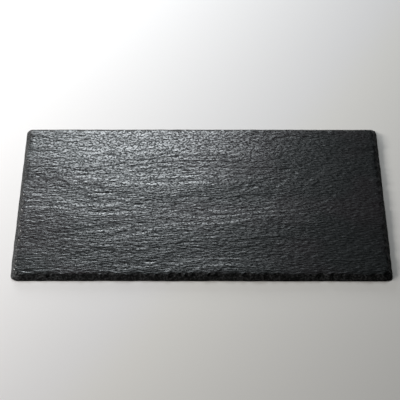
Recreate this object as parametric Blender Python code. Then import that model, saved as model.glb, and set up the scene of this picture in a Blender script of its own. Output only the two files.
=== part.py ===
"""A rectangular slab of split slate, lying on its underside.

The slab is one piece of stone. Its top and its underside are riven: split along the cleavage and
left as they came apart. Its four sides are dressed by hand with a knife, so that each slopes
outwards from a chipped lip down to the arris at the base. Metres, +Z up. The origin is on the
resting face, under the middle, with the length along X.
"""

import math

import bmesh
import bpy
from mathutils import Matrix, Vector, noise

# Driving dimensions
LENGTH = 0.300
WIDTH = 0.150
THICKNESS = 0.0045
LONG_SIDE_LEAN = 0.0037
SHORT_SIDE_LEAN = 0.0031
CORNER_RADIUS = 0.0050

# Dressed sides: each value is a depth into the stone, or a distance along a side
SIDE_WANDER = 0.0004
SIDE_WANDER_RUN = 0.034
CHIP_PITCH = 0.014
CHIP_BORDER_SHIFT = 0.36
CHIP_DEPTH = 0.0009
CHIP_SHALLOWEST = 0.25
SIDE_BLEND = 0.014
ARRIS_INSET = 0.0004
LIP_DROP = 0.00010
LIP_WIDTH = 0.003

# Heights on a side, as a share of the thickness
LIP_LEVEL = 1.0
MIDDLE_LEVEL = 0.55
ARRIS_LEVEL = 0.12
BASE_LEVEL = 0.0

# Riven top: how high each kind of relief is, and how far one feature of it reaches along X and Y
SWELL_HEIGHT = 0.00045
SWELL_REACH = (0.110, 0.060)
LEDGE_HEIGHT = 0.00022
LEDGE_REACH = (0.080, 0.024)
LEDGE_COUNT = 3.5
LEDGE_RISER = 0.25
RIDGE_HEIGHT = 0.00020
RIDGE_REACH = (0.030, 0.0085)
RIDGE_MEAN = 0.5
DRIFT_WIDTH = 0.006
DRIFT_REACH = (0.050, 0.050)

# Riven underside: shallow flaked hollows, clear of the middle and of the sides
HOLLOW_DEPTH = 0.0004
HOLLOW_REACH = (0.052, 0.030)
HOLLOW_START = 0.08
HOLLOW_SLOPE = 0.0016
FLAT_MIDDLE_RADIUS = 0.030
HOLLOW_RIM = 0.012

# Each relief reads its own layer of the noise
SWELL_LAYER = 3.3
LEDGE_LAYER = 11.7
RIDGE_LAYER = 17.2
DRIFT_LAYER = 23.9
HOLLOW_LAYER = 31.4
SHORT_SIDES_LAYER = 40.5
LONG_SIDES_LAYER = 50.5
CHIP_BITE_LAYERS = 100.0

# Facets of the blank
TOP_FACETS = (50, 68)
UNDERSIDE_FACETS = (20, 12)
UNDERSIDE_MARGIN = 0.008
SAME_PLACE = 1e-6

SLATE_COLOUR = (0.030, 0.034, 0.038, 1.0)
SLATE_ROUGHNESS = 0.6
SHARP_EDGE_ANGLE = math.radians(35.0)


def smooth_step(low, high, value):
    """Rise smoothly from 0 at low to 1 at high."""
    share = min(max((value - low) / (high - low), 0.0), 1.0)
    return share * share * (3.0 - 2.0 * share)


def relief(x, y, reach, layer):
    """Noise from about -1 to 1, whose features reach as far along X and Y as reach says."""
    return noise.noise(Vector((x / reach[0], y / reach[1], layer)))


def ledge_height(x, y):
    """Height of the cleavage layers: level treads with a short riser between each two."""
    layer = LEDGE_COUNT * relief(x, y, LEDGE_REACH, LEDGE_LAYER)
    tread = math.floor(layer)
    riser = smooth_step(1.0 - LEDGE_RISER, 1.0, layer - tread)
    return LEDGE_HEIGHT * (tread + riser)


def ridge_height(x, y):
    """Height of the cleft ridges, which run along the slab and come to low crests."""
    crest = 1.0 - 2.0 * abs(relief(x, y, RIDGE_REACH, RIDGE_LAYER))
    return RIDGE_HEIGHT * (crest - RIDGE_MEAN)


def top_height(x, y):
    """Height of the riven top above the resting face."""
    drift = DRIFT_WIDTH * relief(x, y, DRIFT_REACH, DRIFT_LAYER)
    swell = SWELL_HEIGHT * relief(x, y, SWELL_REACH, SWELL_LAYER)
    return THICKNESS + swell + ledge_height(x, y + drift) + ridge_height(x, y + drift)


def underside_height(x, y):
    """Height of the underside: 0 where it rests, more in the flaked hollows."""
    hollow = relief(x, y, HOLLOW_REACH, HOLLOW_LAYER) - HOLLOW_START
    depth = min(HOLLOW_DEPTH, HOLLOW_SLOPE * max(hollow, 0.0))
    from_sides = min(LENGTH / 2 - abs(x), WIDTH / 2 - abs(y))
    clear_of_sides = smooth_step(HOLLOW_RIM, 2.0 * HOLLOW_RIM, from_sides)
    clear_of_middle = smooth_step(FLAT_MIDDLE_RADIUS, 2.0 * FLAT_MIDDLE_RADIUS, math.hypot(x, y))
    return depth * clear_of_sides * clear_of_middle


def chip_random(number, side):
    """A fixed random value from 0 to 1 for one chip of one side."""
    return 0.5 + 0.5 * noise.cell(Vector((number + 0.5, side, 0.5)))


def chip_border(number, side):
    """Where one chip starts along its side."""
    return CHIP_PITCH * (number + CHIP_BORDER_SHIFT * chip_random(number, side))


def chip_depth(run, side):
    """Depth of the scallop that a blow of the dressing knife left in the lip."""
    number = math.floor(run / CHIP_PITCH)
    if run < chip_border(number, side):
        number -= 1
    start = chip_border(number, side)
    end = chip_border(number + 1, side)
    share = (run - start) / (end - start)
    bite = CHIP_SHALLOWEST + (1.0 - CHIP_SHALLOWEST) * chip_random(number, side + CHIP_BITE_LAYERS)
    scallop = 4.0 * share * (1.0 - share)
    return CHIP_DEPTH * bite * scallop


def side_inset(run, side, lean, level):
    """How far a dressed side lies in from the slab's full size, at one height on it."""
    wander = SIDE_WANDER * (0.5 + 0.5 * noise.noise(Vector((run / SIDE_WANDER_RUN, side, 0.0))))
    above_arris = max(level - ARRIS_LEVEL, 0.0) / (LIP_LEVEL - ARRIS_LEVEL)
    chip = chip_depth(run, side) * smooth_step(0.0, 1.0, above_arris)
    under_arris = 1.0 - smooth_step(BASE_LEVEL, ARRIS_LEVEL, level)
    return wander + lean * above_arris + chip + ARRIS_INSET * under_arris


def drawn_in(place, reach, inset):
    """How far a point of the blank moves in for its side, less the further in it lies."""
    hold = 1.0 - smooth_step(0.0, SIDE_BLEND, reach - abs(place))
    return math.copysign(hold * inset, place)


def round_corner(x, y):
    """Turn the square round each corner into a quarter of a disc."""
    past_x = abs(x) - (LENGTH / 2 - CORNER_RADIUS)
    past_y = abs(y) - (WIDTH / 2 - CORNER_RADIUS)
    if past_x <= 0.0 or past_y <= 0.0:
        return x, y
    pull = 1.0 - max(past_x, past_y) / math.hypot(past_x, past_y)
    return x - math.copysign(past_x * pull, x), y - math.copysign(past_y * pull, y)


def slab_point(blank):
    """Where a point of the blank lies on the slab.

    The blank runs from -1 to 1 in X and Y, and its Z is 1 on the top and 0 on the underside.
    """
    level = blank.z
    blank_x = blank.x * LENGTH / 2
    blank_y = blank.y * WIDTH / 2
    short_side = SHORT_SIDES_LAYER + math.copysign(1.0, blank_x)
    long_side = LONG_SIDES_LAYER + math.copysign(1.0, blank_y)
    inset_x = side_inset(blank_y, short_side, SHORT_SIDE_LEAN, level)
    inset_y = side_inset(blank_x, long_side, LONG_SIDE_LEAN, level)
    x, y = round_corner(blank_x, blank_y)
    x -= drawn_in(blank_x, LENGTH / 2, inset_x)
    y -= drawn_in(blank_y, WIDTH / 2, inset_y)
    from_rim = min(LENGTH / 2 - abs(blank_x), WIDTH / 2 - abs(blank_y))
    lip_drop = LIP_DROP * (1.0 - smooth_step(0.0, LIP_WIDTH, from_rim))
    low = underside_height(x, y)
    high = top_height(x, y) - lip_drop
    return Vector((x, y, low + (high - low) * level))


def open_edges(bm):
    """The edges that only one face uses."""
    return [edge for edge in bm.edges if edge.is_boundary]


def add_row(bm, level):
    """Extrude the open rim down to a level."""
    extruded = bmesh.ops.extrude_edge_only(bm, edges=open_edges(bm))
    for item in extruded["geom"]:
        if isinstance(item, bmesh.types.BMVert):
            item.co.z = level


def runs_along(edge, axis):
    """Whether an edge of the blank keeps to one place on the other axis."""
    first, second = edge.verts
    return abs(first.co[1 - axis] - second.co[1 - axis]) < SAME_PLACE


def add_top(bm):
    """The top grid, whose rim is split once more along the two long sides."""
    facets_x, facets_y = TOP_FACETS
    lift = Matrix.Translation((0.0, 0.0, LIP_LEVEL))
    bmesh.ops.create_grid(bm, x_segments=facets_x, y_segments=facets_y, size=1.0, matrix=lift)
    long_rim = [edge for edge in open_edges(bm) if runs_along(edge, 0)]
    bmesh.ops.subdivide_edges(bm, edges=long_rim, cuts=1)


def join_side(bm, axis, end):
    """Bridge the rim and the underside grid along one of the four sides."""
    side = [edge for edge in open_edges(bm) if runs_along(edge, axis)]
    side = [edge for edge in side if edge.verts[0].co[1 - axis] * end > 0.0]
    bmesh.ops.bridge_loops(bm, edges=side)


def add_underside(bm):
    """The underside grid, coarser and a margin smaller than the rim, joined to it by strips."""
    share_x = 1.0 - UNDERSIDE_MARGIN / (LENGTH / 2)
    share_y = 1.0 - UNDERSIDE_MARGIN / (WIDTH / 2)
    facets_x, facets_y = UNDERSIDE_FACETS
    shrink = Matrix.Diagonal((share_x, share_y, 1.0, 1.0))
    bmesh.ops.create_grid(bm, x_segments=facets_x, y_segments=facets_y, size=1.0, matrix=shrink)
    for axis in (0, 1):
        join_side(bm, axis, 1.0)
        join_side(bm, axis, -1.0)


def slate_material():
    """Dark blue-grey slate."""
    material = bpy.data.materials.new("slate")
    material.use_nodes = True
    shader = material.node_tree.nodes["Principled BSDF"]
    shader.inputs["Base Color"].default_value = SLATE_COLOUR
    shader.inputs["Roughness"].default_value = SLATE_ROUGHNESS
    shader.inputs["Metallic"].default_value = 0.0
    return material


def slab_mesh():
    """The slab as one closed mesh: the blank's points moved to where they lie on the stone."""
    bm = bmesh.new()
    add_top(bm)
    for level in (MIDDLE_LEVEL, ARRIS_LEVEL, BASE_LEVEL):
        add_row(bm, level)
    add_underside(bm)
    for vertex in bm.verts:
        vertex.co = slab_point(vertex.co)
    bmesh.ops.triangulate(bm, faces=bm.faces)
    bmesh.ops.recalc_face_normals(bm, faces=bm.faces)
    mesh = bpy.data.meshes.new("slab")
    bm.to_mesh(mesh)
    bm.free()
    mesh.shade_smooth()
    mesh.set_sharp_from_angle(angle=SHARP_EDGE_ANGLE)
    mesh.materials.append(slate_material())
    return mesh


def clear_objects():
    """Start from an empty file."""
    for item in list(bpy.data.objects):
        bpy.data.objects.remove(item, do_unlink=True)


clear_objects()
slate_slab = bpy.data.collections.new("slate slab")
bpy.context.scene.collection.children.link(slate_slab)
slate_slab.objects.link(bpy.data.objects.new("slab", slab_mesh()))
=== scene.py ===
import math

import bmesh
import bpy
from mathutils import Matrix, Quaternion, Vector, noise


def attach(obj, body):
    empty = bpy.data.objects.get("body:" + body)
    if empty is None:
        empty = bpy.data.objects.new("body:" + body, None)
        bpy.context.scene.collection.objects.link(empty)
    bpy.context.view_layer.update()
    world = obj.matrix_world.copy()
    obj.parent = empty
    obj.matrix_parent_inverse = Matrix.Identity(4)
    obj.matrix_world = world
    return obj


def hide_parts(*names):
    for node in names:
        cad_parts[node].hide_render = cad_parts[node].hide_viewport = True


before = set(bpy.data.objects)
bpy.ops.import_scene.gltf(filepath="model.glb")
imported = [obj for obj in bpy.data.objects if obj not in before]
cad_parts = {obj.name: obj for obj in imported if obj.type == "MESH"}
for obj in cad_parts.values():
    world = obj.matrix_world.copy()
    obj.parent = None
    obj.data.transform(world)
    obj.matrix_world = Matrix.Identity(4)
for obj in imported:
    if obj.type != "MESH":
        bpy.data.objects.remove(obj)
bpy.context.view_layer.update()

# ------------------------------------------------------------------------------------------------
# The slab: one sheet of dark slate, split by hand from the quarry block along its cleavage.
# Its top and underside are left riven, in thin flaked layers that run with the grain, along X.
# Its sides are dressed with a knife: they slope outwards from a chipped lip to the base arris.

LENGTH = 0.300
WIDTH = 0.150
THICKNESS = 0.0045
LONG_SIDE_LEAN = 0.0037
SHORT_SIDE_LEAN = 0.0031
CORNER_RADIUS = 0.0050

# The riven relief: each feature has a height, a reach along X and along Y, and the layer of the
# noise that it is read from. The drift is sideways, so it has a width for a height.
SWELL_HEIGHT = 0.00045
SWELL_REACH = (0.110, 0.060)
SWELL_LAYER = 3.3
LEDGE_HEIGHT = 0.00012
LEDGE_REACH = (0.080, 0.024)
LEDGE_LAYER = 11.7
LEDGE_COUNT = 3.5
LEDGE_RISER = 0.25
RIDGE_HEIGHT = 0.00005
RIDGE_REACH = (0.030, 0.0085)
RIDGE_LAYER = 17.2
RIDGE_MEAN = 0.5
DRIFT_WIDTH = 0.006
DRIFT_REACH = (0.050, 0.050)
DRIFT_LAYER = 23.9


def smooth_step(low, high, value):
    """Rise smoothly from 0 at low to 1 at high."""
    share = min(max((value - low) / (high - low), 0.0), 1.0)
    return share * share * (3.0 - 2.0 * share)


def as_share(value):
    """A noise value from -1 to 1 turned into a share from 0 to 1."""
    return 0.5 + 0.5 * value


def relief(x, y, reach, layer):
    """Noise from about -1 to 1, whose features reach as far along X and Y as reach says."""
    return noise.noise(Vector((x / reach[0], y / reach[1], layer)))


def ledge_height(x, y):
    """Height of the cleavage layers: level treads with a short riser between each two."""
    layer = LEDGE_COUNT * relief(x, y, LEDGE_REACH, LEDGE_LAYER)
    tread = math.floor(layer)
    riser = smooth_step(1.0 - LEDGE_RISER, 1.0, layer - tread)
    return LEDGE_HEIGHT * (tread + riser)


def ridge_height(x, y):
    """Height of the cleft ridges, which run along the slab and come to low crests."""
    crest = 1.0 - 2.0 * abs(relief(x, y, RIDGE_REACH, RIDGE_LAYER))
    return RIDGE_HEIGHT * (crest - RIDGE_MEAN)


# The fine surface: flakes are thin layers with sharp broken edges, ripples are the wavy cleft
# between them, and grain is the crinkle on both. It is calmer towards the slab's +X end.
FLAKE_HEIGHT = 0.00002
FLAKE_REACH = (0.012, 0.0034)
FLAKE_LAYER = 61.3
FLAKE_COUNT = 3.0
FLAKE_RISER = 0.30
RIPPLE_HEIGHT = 0.00004
RIPPLE_REACH = (0.0080, 0.0022)
RIPPLE_LAYER = 67.1
GRAIN_HEIGHT = 0.00011
GRAIN_REACH = (0.0035, 0.0010)
GRAIN_LAYER = 73.6
BRAID_WIDTH = 0.0012
BRAID_REACH = (0.008, 0.006)
BRAID_LAYER = 79.9
CALM_SHARE = 0.42
CALM_FROM = -0.020
CALM_TO = 0.120


def flake_height(x, y):
    """Height of the thin flaked layers, which end in small sharp steps."""
    layer = FLAKE_COUNT * relief(x, y, FLAKE_REACH, FLAKE_LAYER)
    tread = math.floor(layer)
    return FLAKE_HEIGHT * (tread + smooth_step(1.0 - FLAKE_RISER, 1.0, layer - tread))


def cleft_height(x, y, layer_shift=0.0):
    """Height of the flakes, ripples and grain, which wander a little across the grain."""
    braid = BRAID_WIDTH * relief(x, y, BRAID_REACH, BRAID_LAYER + layer_shift)
    ripple = relief(x, y + braid, RIPPLE_REACH, RIPPLE_LAYER + layer_shift)
    grain = relief(x, y + braid, GRAIN_REACH, GRAIN_LAYER + layer_shift)
    fine = RIPPLE_HEIGHT * ripple + GRAIN_HEIGHT * grain + flake_height(x, y + braid)
    return fine * (1.0 - CALM_SHARE * smooth_step(CALM_FROM, CALM_TO, x))


# The scars, where a flake was plucked out: the top is ruled into fields, and some fields hold one.
SCAR_FIELD = (0.030, 0.018)
SCAR_SHARE = 0.30
SCAR_MARGIN = 0.2
SCAR_SIZE = (0.0038, 0.0012)
SCAR_SMALLEST = 0.5
SCAR_FLOOR = 0.55
SCAR_DEPTH = 0.00016
SCAR_CHANCE_LAYER = 700.5
SCAR_PLACE_LAYERS = (701.5, 702.5)
SCAR_SIZE_LAYER = 703.5


def field_random(column, row, layer):
    """A fixed random value from 0 to 1 for one field of the top."""
    return as_share(noise.cell(Vector((column + 0.5, row + 0.5, layer))))


def scar_depth(x, y):
    """Depth of the scar, if any, at a place: flat in its middle and shelving at its rim."""
    column = math.floor(x / SCAR_FIELD[0])
    row = math.floor(y / SCAR_FIELD[1])
    if field_random(column, row, SCAR_CHANCE_LAYER) > SCAR_SHARE:
        return 0.0
    inside = 1.0 - 2.0 * SCAR_MARGIN
    share_x = SCAR_MARGIN + inside * field_random(column, row, SCAR_PLACE_LAYERS[0])
    share_y = SCAR_MARGIN + inside * field_random(column, row, SCAR_PLACE_LAYERS[1])
    size = SCAR_SMALLEST + field_random(column, row, SCAR_SIZE_LAYER)
    away_x = (x - (column + share_x) * SCAR_FIELD[0]) / (SCAR_SIZE[0] * size)
    away_y = (y - (row + share_y) * SCAR_FIELD[1]) / (SCAR_SIZE[1] * size)
    return SCAR_DEPTH * size * (1.0 - smooth_step(SCAR_FLOOR, 1.0, math.hypot(away_x, away_y)))


def top_height(x, y):
    """Height of the riven top above the resting face."""
    drift = DRIFT_WIDTH * relief(x, y, DRIFT_REACH, DRIFT_LAYER)
    swell = SWELL_HEIGHT * relief(x, y, SWELL_REACH, SWELL_LAYER)
    coarse = swell + ledge_height(x, y + drift) + ridge_height(x, y + drift)
    return THICKNESS + coarse + cleft_height(x, y) - scar_depth(x, y)


# The underside: shallow flaked hollows, clear of the middle and of the sides, with the same fine
# cleft surface standing back from the resting face.
HOLLOW_DEPTH = 0.0004
HOLLOW_REACH = (0.052, 0.030)
HOLLOW_LAYER = 31.4
HOLLOW_START = 0.08
HOLLOW_SLOPE = 0.0016
FLAT_MIDDLE_RADIUS = 0.030
HOLLOW_RIM = 0.012
UNDERSIDE_SHIFT = 200.0
UNDERSIDE_STAND_BACK = 0.00012
UNDERSIDE_CLEFT = 0.5


def underside_height(x, y):
    """Height of the underside: nearly 0 where it rests, more in the flaked hollows."""
    hollow = relief(x, y, HOLLOW_REACH, HOLLOW_LAYER) - HOLLOW_START
    depth = min(HOLLOW_DEPTH, HOLLOW_SLOPE * max(hollow, 0.0))
    from_sides = min(LENGTH / 2 - abs(x), WIDTH / 2 - abs(y))
    clear_of_sides = smooth_step(HOLLOW_RIM, 2.0 * HOLLOW_RIM, from_sides)
    clear_of_middle = smooth_step(FLAT_MIDDLE_RADIUS, 2.0 * FLAT_MIDDLE_RADIUS, math.hypot(x, y))
    fine = UNDERSIDE_STAND_BACK + UNDERSIDE_CLEFT * cleft_height(x, y, UNDERSIDE_SHIFT)
    return depth * clear_of_sides * clear_of_middle + max(fine, 0.0)


# The dressed sides, chipped by the blows of the knife. A depth, drop or inset is into the stone,
# and a pitch, run or shift is along a side. Big chips run down a side to its arris, small flakes
# and nicks bite its lip, and the cut layers show as splinters all the way down.
SIDE_WANDER = 0.0004
SIDE_WANDER_RUN = 0.034
CHIP_PITCH = 0.014
CHIP_BORDER_SHIFT = 0.36
CHIP_DEPTH = 0.0009
CHIP_SHALLOWEST = 0.25
SIDE_BLEND = 0.014
ARRIS_INSET = 0.0004
LIP_DROP = 0.00010
LIP_WIDTH = 0.003
LIP_LEVEL = 1.0
ARRIS_LEVEL = 0.12
BASE_LEVEL = 0.0
SHORT_SIDES_LAYER = 40.5
LONG_SIDES_LAYER = 50.5
CHIP_BITE_LAYERS = 100.0
LIP_FLAKE_PITCH = 0.0080
LIP_FLAKE_DEPTH = 0.0022
LIP_FLAKE_MEAN = 0.4
LIP_FLAKE_LAYERS = 500.0
LIP_FLAKE_SHIFT = 0.008
LIP_FLAKE_SHIFT_RUN = 0.017
LIP_BREAK = 2.2
LIP_BREAK_RUN = 0.0050
LIP_BREAK_LAYER = 88.8
NICK_DEPTH = 0.00028
NICK_RUN = 0.0022
NICK_FALL = 2.0
NICK_LAYERS = 300.0
LAMINA_DEPTH = 0.00022
LAMINA_RUN = 0.0060
LAMINA_FALL = 9.0
LAMINA_LAYERS = 400.0


def chip_random(number, side):
    """A fixed random value from 0 to 1 for one chip of one side."""
    return as_share(noise.cell(Vector((number + 0.5, side, 0.5))))


def chip_border(number, side, pitch):
    """Where one chip starts along its side."""
    return pitch * (number + CHIP_BORDER_SHIFT * chip_random(number, side))


def chip_bite(run, side, pitch):
    """Bite of a chip at a place along a side: 0 at its ends, 1 in the middle of a deep one."""
    number = math.floor(run / pitch)
    if run < chip_border(number, side, pitch):
        number -= 1
    start = chip_border(number, side, pitch)
    end = chip_border(number + 1, side, pitch)
    share = (run - start) / (end - start)
    scallop = 4.0 * share * (1.0 - share)
    depth = chip_random(number, side + CHIP_BITE_LAYERS)
    return (CHIP_SHALLOWEST + (1.0 - CHIP_SHALLOWEST) * depth) * scallop


def broken_depth(run, side, level):
    """Depth of the nicks in the lip and of the splintered layers down a dressed side."""
    nick = noise.noise(Vector((run / NICK_RUN, side + NICK_LAYERS, NICK_FALL * level)))
    lamina = noise.noise(Vector((run / LAMINA_RUN, side + LAMINA_LAYERS, LAMINA_FALL * level)))
    between = smooth_step(BASE_LEVEL, ARRIS_LEVEL, level)
    return between * (NICK_DEPTH * nick * level + LAMINA_DEPTH * lamina)


def chip_depth(run, side, above_arris):
    """Depth of the big chips of a side and of the small flakes that broke off its lip."""
    big = CHIP_DEPTH * chip_bite(run, side, CHIP_PITCH) * smooth_step(0.0, 1.0, above_arris)
    layer = LIP_FLAKE_LAYERS
    shifted = run + LIP_FLAKE_SHIFT * noise.noise(Vector((run / LIP_FLAKE_SHIFT_RUN, side, layer)))
    flaked = chip_bite(shifted, side + layer, LIP_FLAKE_PITCH) - LIP_FLAKE_MEAN
    return big + LIP_FLAKE_DEPTH * flaked * above_arris ** 2


def side_inset(run, side, lean, level):
    """How far a dressed side lies in from the slab's full size, at one height on it."""
    wander = SIDE_WANDER * as_share(noise.noise(Vector((run / SIDE_WANDER_RUN, side, 0.0))))
    above_arris = max(level - ARRIS_LEVEL, 0.0) / (LIP_LEVEL - ARRIS_LEVEL)
    chip = chip_depth(run, side, above_arris)
    under_arris = 1.0 - smooth_step(BASE_LEVEL, ARRIS_LEVEL, level)
    broken = broken_depth(run, side, level)
    return wander + lean * above_arris + chip + ARRIS_INSET * under_arris + broken


def drawn_in(place, reach, run, sides_layer, lean, level):
    """How far a point of the blank moves in for the nearer of two sides, less further in."""
    hold = 1.0 - smooth_step(0.0, SIDE_BLEND, reach - abs(place))
    if hold == 0.0:
        return 0.0
    direction = math.copysign(1.0, place)
    return direction * hold * side_inset(run, sides_layer + direction, lean, level)


def round_corner(x, y):
    """Turn the square round each corner into a quarter of a disc."""
    past_x = abs(x) - (LENGTH / 2 - CORNER_RADIUS)
    past_y = abs(y) - (WIDTH / 2 - CORNER_RADIUS)
    if past_x <= 0.0 or past_y <= 0.0:
        return x, y
    pull = 1.0 - max(past_x, past_y) / math.hypot(past_x, past_y)
    return x - math.copysign(past_x * pull, x), y - math.copysign(past_y * pull, y)


def lip_fall(blank_x, blank_y):
    """How far the top falls at a place near its rim, where the lip is broken down."""
    from_rim = min(LENGTH / 2 - abs(blank_x), WIDTH / 2 - abs(blank_y))
    along = (blank_x + blank_y) / LIP_BREAK_RUN
    broken = noise.noise(Vector((along, blank_x - blank_y, LIP_BREAK_LAYER)))
    return LIP_DROP * (1.0 + LIP_BREAK * broken) * (1.0 - smooth_step(0.0, LIP_WIDTH, from_rim))


def slab_point(blank):
    """Where a point of the blank lies on the slab.

    The blank runs from -1 to 1 in X and Y, and its Z is 1 on the top and 0 on the underside.
    """
    level = blank.z
    blank_x = blank.x * LENGTH / 2
    blank_y = blank.y * WIDTH / 2
    x, y = round_corner(blank_x, blank_y)
    x -= drawn_in(blank_x, LENGTH / 2, blank_y, SHORT_SIDES_LAYER, SHORT_SIDE_LEAN, level)
    y -= drawn_in(blank_y, WIDTH / 2, blank_x, LONG_SIDES_LAYER, LONG_SIDE_LEAN, level)
    if level == BASE_LEVEL:
        return Vector((x, y, underside_height(x, y)))
    low = underside_height(x, y) if level < LIP_LEVEL else 0.0
    high = top_height(x, y) - lip_fall(blank_x, blank_y)
    return Vector((x, y, low + (high - low) * level))


# The mesh: a fine grid for the top, rows of faces down the sides and a coarser grid underneath,
# joined as one closed skin and then moved to where each point lies on the stone.
TOP_CELLS = (220, 300)
UNDERSIDE_CELLS = (132, 118)
UNDERSIDE_MARGIN = 0.004
SIDE_ROWS = 10
SAME_PLACE = 1e-6
SHARP_FROM = math.radians(50.0)


def open_edges(bm):
    """The edges that only one face uses."""
    return [edge for edge in bm.edges if edge.is_boundary]


def runs_along(edge, axis):
    """Whether an edge of the blank keeps to one place on the other axis."""
    first, second = edge.verts
    return abs(first.co[1 - axis] - second.co[1 - axis]) < SAME_PLACE


def add_row(bm, level):
    """Extrude the open rim down to a level."""
    extruded = bmesh.ops.extrude_edge_only(bm, edges=open_edges(bm))
    for item in extruded["geom"]:
        if isinstance(item, bmesh.types.BMVert):
            item.co.z = level


def join_side(bm, axis, end):
    """Bridge the rim and the underside grid along one of the four sides."""
    side = [edge for edge in open_edges(bm) if runs_along(edge, axis)]
    side = [edge for edge in side if edge.verts[0].co[1 - axis] * end > 0.0]
    bmesh.ops.bridge_loops(bm, edges=side)


bm = bmesh.new()
dressed_mask = bm.verts.layers.float.new("dressed")
lift = Matrix.Translation((0.0, 0.0, LIP_LEVEL))
cells_x, cells_y = TOP_CELLS
bmesh.ops.create_grid(bm, x_segments=cells_x, y_segments=cells_y, size=1.0, matrix=lift)
riven_top = set(bm.verts)
for row in range(1, SIDE_ROWS + 1):
    add_row(bm, LIP_LEVEL + (ARRIS_LEVEL - LIP_LEVEL) * row / SIDE_ROWS)
add_row(bm, ARRIS_LEVEL / 2)
for vertex in bm.verts:
    vertex[dressed_mask] = 0.0 if vertex in riven_top else 1.0
add_row(bm, BASE_LEVEL)
share_x = 1.0 - UNDERSIDE_MARGIN / (LENGTH / 2)
share_y = 1.0 - UNDERSIDE_MARGIN / (WIDTH / 2)
shrink = Matrix.Diagonal((share_x, share_y, 1.0, 1.0))
cells_x, cells_y = UNDERSIDE_CELLS
bmesh.ops.create_grid(bm, x_segments=cells_x, y_segments=cells_y, size=1.0, matrix=shrink)
for axis in (0, 1):
    join_side(bm, axis, 1.0)
    join_side(bm, axis, -1.0)
for vertex in bm.verts:
    vertex.co = slab_point(vertex.co)
bmesh.ops.recalc_face_normals(bm, faces=bm.faces)
slab_mesh = bpy.data.meshes.new("slate_slab")
bm.to_mesh(slab_mesh)
bm.free()
slab_mesh.shade_smooth()
slab_mesh.set_sharp_from_angle(angle=SHARP_FROM)

slab = bpy.data.objects.new("slate_slab", slab_mesh)
bpy.context.scene.collection.objects.link(slab)


def add_node(tree, kind, label, **values):
    """A labelled node with some of its inputs set, each named as on the node."""
    node = tree.nodes.new(kind)
    node.label = label
    for key, value in values.items():
        node.inputs[key.replace("_", " ")].default_value = value
    return node


PATTERN_TURN = (0.6, 0.5, 0.4)
EVEN = (1.0, 1.0, 1.0)


def fine_grain_group():
    """Fine grain of stone or paper: noise, drawn out and then turned, so that no weave shows."""
    group = bpy.data.node_groups.new("fine_grain", "ShaderNodeTree")
    group.interface.new_socket("Place", in_out="INPUT", socket_type="NodeSocketVector")
    group.interface.new_socket("Stretch", in_out="INPUT", socket_type="NodeSocketVector")
    group.interface.new_socket("Scale", in_out="INPUT", socket_type="NodeSocketFloat")
    group.interface.new_socket("Detail", in_out="INPUT", socket_type="NodeSocketFloat")
    group.interface.new_socket("Grain", in_out="OUTPUT", socket_type="NodeSocketFloat")
    given = group.nodes.new("NodeGroupInput")
    result = group.nodes.new("NodeGroupOutput")
    turned = add_node(group, "ShaderNodeMapping", "drawn out and turned", Rotation=PATTERN_TURN)
    grain = add_node(group, "ShaderNodeTexNoise", "grain")
    group.links.new(given.outputs["Place"], turned.inputs["Vector"])
    group.links.new(given.outputs["Stretch"], turned.inputs["Scale"])
    group.links.new(turned.outputs["Vector"], grain.inputs["Vector"])
    group.links.new(given.outputs["Scale"], grain.inputs["Scale"])
    group.links.new(given.outputs["Detail"], grain.inputs["Detail"])
    group.links.new(grain.outputs["Fac"], result.inputs["Grain"])
    return group


fine_grain = fine_grain_group()


def add_grain(tree, label, place, stretch, scale, detail=0.0):
    """Grain over a place, drawn out along an axis whose stretch is under 1; returns its value."""
    node = tree.nodes.new("ShaderNodeGroup")
    node.node_tree = fine_grain
    node.label = label
    node.inputs["Stretch"].default_value = stretch
    node.inputs["Scale"].default_value = scale
    node.inputs["Detail"].default_value = detail
    tree.links.new(place, node.inputs["Place"])
    return node.outputs["Grain"]


def add_range(tree, label, value, low, high, at_low, at_high):
    """A value turned smoothly from at_low, where it is low, to at_high, where it is high."""
    ends = {"From_Min": low, "From_Max": high, "To_Min": at_low, "To_Max": at_high}
    node = add_node(tree, "ShaderNodeMapRange", label, **ends)
    node.interpolation_type = "SMOOTHSTEP"
    tree.links.new(value, node.inputs["Value"])
    return node.outputs["Result"]


def add_mix(tree, label, kind, share, first, second):
    """Two colours ("RGBA") or values ("FLOAT") mixed by a share; each is a socket or a constant."""
    node = add_node(tree, "ShaderNodeMix", label)
    node.data_type = kind
    sockets = [socket for socket in node.inputs if socket.enabled]
    for socket, source in zip(sockets, (share, first, second)):
        if isinstance(source, bpy.types.NodeSocket):
            tree.links.new(source, socket)
        else:
            socket.default_value = source
    return next(socket for socket in node.outputs if socket.enabled)


def add_bump(tree, label, height, distance, normal=None):
    """Relief as deep as a distance, on top of another relief's normal."""
    node = add_node(tree, "ShaderNodeBump", label, Strength=1.0, Distance=distance)
    tree.links.new(height, node.inputs["Height"])
    if normal is not None:
        tree.links.new(normal, node.inputs["Normal"])
    return node.outputs["Normal"]


SLATE_IOR = 1.38
SLATE_TINT = (0.965, 1.0, 1.015, 1.0)
COOL_BED = (0.0080, 0.0093, 0.0095, 1.0)
RUSTY_BED = (0.0130, 0.0105, 0.0118, 1.0)
BED_STRETCH = (0.6, 1.0, 1.0)
BED_SCALE = 26.0
BED_RANGE = (0.42, 0.62)
MICA_IOR = 1.66
MICA_ROUGHNESS = 0.28
CRINKLE_STRETCH = (0.3, 1.0, 1.0)
CRINKLE_SCALE = 850.0
CRINKLE_HEIGHT = 0.00040
SPECK_SCALE = 1000.0
SPECK_HEIGHT = 0.00002
MICA_STRETCH = (0.7, 1.0, 1.0)
MICA_SCALE = 900.0
MICA_RANGE = (0.47, 0.53)
ROUGH_TROUGH = 0.38
ROUGH_CREST = 0.37
CRUSHED_DARK = (0.0050, 0.0050, 0.0050, 1.0)
CRUSHED_PALE = (0.047, 0.047, 0.048, 1.0)
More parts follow.
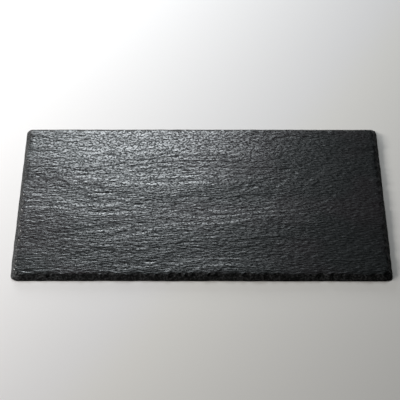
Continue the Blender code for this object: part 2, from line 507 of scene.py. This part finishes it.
DRESSED_MICA = 0.0
CRUSHED_SCALE = 700.0
CRUSHED_RANGE = (0.46, 0.62)
DRESSED_ROUGHNESS = 0.65
SPLINTER_STRETCH = (0.7, 0.7, 1.6)
SPLINTER_SCALE = 560.0
SPLINTER_HEIGHT = 0.00025


def riven_slate():
    """Dark slate: shiny mica flakes on the riven faces, dull crushed stone on the dressed sides."""
    material = bpy.data.materials.new("riven_slate")
    material.use_nodes = True
    tree = material.node_tree
    shader = tree.nodes["Principled BSDF"]
    shader.inputs["IOR"].default_value = SLATE_IOR
    shader.inputs["Specular Tint"].default_value = SLATE_TINT
    shader.inputs["Coat IOR"].default_value = MICA_IOR
    shader.inputs["Coat Roughness"].default_value = MICA_ROUGHNESS
    place = add_node(tree, "ShaderNodeTexCoord", "place on the slab").outputs["Object"]
    attribute = add_node(tree, "ShaderNodeAttribute", "dressed sides")
    attribute.attribute_name = "dressed"
    dressed = attribute.outputs["Fac"]

    beds = add_grain(tree, "beds", place, BED_STRETCH, BED_SCALE, 1.0)
    rusty = add_range(tree, "rusty beds", beds, *BED_RANGE, 0.0, 1.0)
    bed_colour = add_mix(tree, "bed colour", "RGBA", rusty, COOL_BED, RUSTY_BED)
    crushed = add_grain(tree, "crushed stone", place, EVEN, CRUSHED_SCALE)
    pale = add_range(tree, "pale bruises", crushed, *CRUSHED_RANGE, 0.0, 1.0)
    crushed_colour = add_mix(tree, "crushed colour", "RGBA", pale, CRUSHED_DARK, CRUSHED_PALE)
    colour = add_mix(tree, "slate colour", "RGBA", dressed, bed_colour, crushed_colour)
    tree.links.new(colour, shader.inputs["Base Color"])

    flakes = add_grain(tree, "mica", place, MICA_STRETCH, MICA_SCALE)
    mica = add_range(tree, "shiny mica", flakes, *MICA_RANGE, 0.0, 1.0)
    riven_mica = add_mix(tree, "mica on the riven faces", "FLOAT", dressed, mica, DRESSED_MICA)
    tree.links.new(riven_mica, shader.inputs["Coat Weight"])
    riven = add_mix(tree, "roughness of the riven faces", "FLOAT", mica, ROUGH_TROUGH, ROUGH_CREST)
    roughness = add_mix(tree, "roughness", "FLOAT", dressed, riven, DRESSED_ROUGHNESS)
    tree.links.new(roughness, shader.inputs["Roughness"])

    crinkle = add_grain(tree, "crinkle", place, CRINKLE_STRETCH, CRINKLE_SCALE)
    crinkled = add_bump(tree, "crinkle relief", crinkle, CRINKLE_HEIGHT)
    specks = add_grain(tree, "specks", place, CRINKLE_STRETCH, SPECK_SCALE)
    specked = add_bump(tree, "speck relief", specks, SPECK_HEIGHT, crinkled)
    splinters = add_grain(tree, "splinters", place, SPLINTER_STRETCH, SPLINTER_SCALE, 1.0)
    depth = add_mix(tree, "splinters on the sides only", "FLOAT", dressed, 0.0, splinters)
    splintered = add_bump(tree, "splinter relief", depth, SPLINTER_HEIGHT, specked)
    tree.links.new(splintered, shader.inputs["Normal"])
    return material


slab_mesh.materials.append(riven_slate())

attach(slab, "root")
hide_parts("slab")

# ------------------------------------------------------------------------------------------------
# The floor: a broad table covered with one plain sheet of pale matt paper, on which the slab
# lies loose. Towards the front right its colour turns warmer: this is painted warm light.

FLOOR_RADIUS = 6.0
FLOOR_SEGMENTS = 96
PAPER = (0.818, 0.80, 0.797, 1.0)
# The warmer paper colour below is painted warm light that falls on the front right, not the paper's
# own tint.
PAPER_IN_WARM_LIGHT = (0.824, 0.80, 0.764, 1.0)
WARM_LIGHT_TOWARDS = (0.81, -0.59, 0.0)
WARM_LIGHT_FROM = 0.0
WARM_LIGHT_TO = 0.05
PAPER_ROUGHNESS = 0.6
PAPER_GRAIN_SCALE = 2500.0
PAPER_GRAIN_HEIGHT = 0.00002


def pale_paper():
    """Pale matt paper with a fine grain, and painted warm light on its front right side."""
    material = bpy.data.materials.new("pale_paper")
    material.use_nodes = True
    tree = material.node_tree
    shader = tree.nodes["Principled BSDF"]
    shader.inputs["Roughness"].default_value = PAPER_ROUGHNESS
    place = add_node(tree, "ShaderNodeTexCoord", "place on the floor").outputs["Object"]
    along = add_node(tree, "ShaderNodeVectorMath", "distance towards the front right")
    along.operation = "DOT_PRODUCT"
    along.inputs[1].default_value = WARM_LIGHT_TOWARDS
    tree.links.new(place, along.inputs[0])
    # Painted warm light: the paper colour turns warmer towards the front right.
    painted_warm_light = add_range(tree, "painted_warm_light", along.outputs["Value"], WARM_LIGHT_FROM, WARM_LIGHT_TO, 0.0, 1.0)
    colour = add_mix(tree, "paper colour", "RGBA", painted_warm_light, PAPER, PAPER_IN_WARM_LIGHT)
    tree.links.new(colour, shader.inputs["Base Color"])
    grain = add_grain(tree, "paper grain", place, EVEN, PAPER_GRAIN_SCALE)
    tree.links.new(add_bump(tree, "grain relief", grain, PAPER_GRAIN_HEIGHT), shader.inputs["Normal"])
    return material


bm = bmesh.new()
bmesh.ops.create_circle(bm, cap_ends=True, segments=FLOOR_SEGMENTS, radius=FLOOR_RADIUS)
floor_mesh = bpy.data.meshes.new("floor")
bm.to_mesh(floor_mesh)
bm.free()
floor_mesh.materials.append(pale_paper())
floor = bpy.data.objects.new("floor", floor_mesh)
bpy.context.scene.collection.objects.link(floor)

# ------------------------------------------------------------------------------------------------
# The lights: three softboxes round the slab in a dark room. Two stand behind it, one above the
# other, and give the riven top its sheen. The third stands on the left and throws the shadow.

LIGHT_DISTANCE = 0.8
COOL_WHITE = (0.95, 1.0, 1.03)
WARM_WHITE = (1.0, 0.985, 0.96)


def softbox(name, turn_to_left, rise, size, power, colour):
    """An oblong softbox aimed at the slab, turned from the back and raised from the floor."""
    light = bpy.data.lights.new(name, "AREA")
    light.shape = "RECTANGLE"
    light.size, light.size_y = size
    light.energy = power
    light.color = colour
    level = math.cos(rise)
    towards = Vector((-math.sin(turn_to_left) * level, math.cos(turn_to_left) * level, math.sin(rise)))
    lamp = bpy.data.objects.new(name, light)
    lamp.location = LIGHT_DISTANCE * towards
    lamp.rotation_euler = (-towards).to_track_quat("-Z", "Y").to_euler()
    bpy.context.scene.collection.objects.link(lamp)


softbox(
    "high_back_softbox",
    turn_to_left=math.radians(10.0),
    rise=math.radians(41.0),
    size=(0.30, 0.22),
    power=2.7,
    colour=COOL_WHITE,
)
softbox(
    "low_back_softbox",
    turn_to_left=math.radians(20.0),
    rise=math.radians(16.0),
    size=(0.21, 0.18),
    power=2.4,
    colour=COOL_WHITE,
)
softbox(
    "left_softbox",
    turn_to_left=math.radians(82.0),
    rise=math.radians(28.0),
    size=(0.21, 0.24),
    power=5.7,
    colour=WARM_WHITE,
)

world = bpy.data.worlds.new("studio")
world.use_nodes = True
world.node_tree.nodes["Background"].inputs["Strength"].default_value = 0.0
bpy.context.scene.world = world
bpy.context.scene.view_settings.view_transform = "Standard"

# ------------------------------------------------------------------------------------------------
# The camera: a long lens above the front of the slab, looking down at it, so that the slab's
# sides draw together only a little towards the back.

CAMERA_AIM = Vector((-0.0013, 0.0019, 0.0))
CAMERA_DISTANCE = 0.8748
CAMERA_ELEVATION = math.radians(55.65)
CAMERA_ROLL = 0.0009
SENSOR_WIDTH = 36.0
LENS = 95.7
CLIP_START = 0.01

camera_data = bpy.data.cameras.new("camera")
camera_data.sensor_width = SENSOR_WIDTH
camera_data.lens = LENS
camera_data.clip_start = CLIP_START
camera = bpy.data.objects.new("camera", camera_data)
towards_camera = Vector((0.0, -math.cos(CAMERA_ELEVATION), math.sin(CAMERA_ELEVATION)))
camera.location = CAMERA_AIM + CAMERA_DISTANCE * towards_camera
roll = Quaternion((0.0, 0.0, 1.0), CAMERA_ROLL)
camera.rotation_euler = ((-towards_camera).to_track_quat("-Z", "Y") @ roll).to_euler()
bpy.context.scene.collection.objects.link(camera)
bpy.context.scene.camera = camera
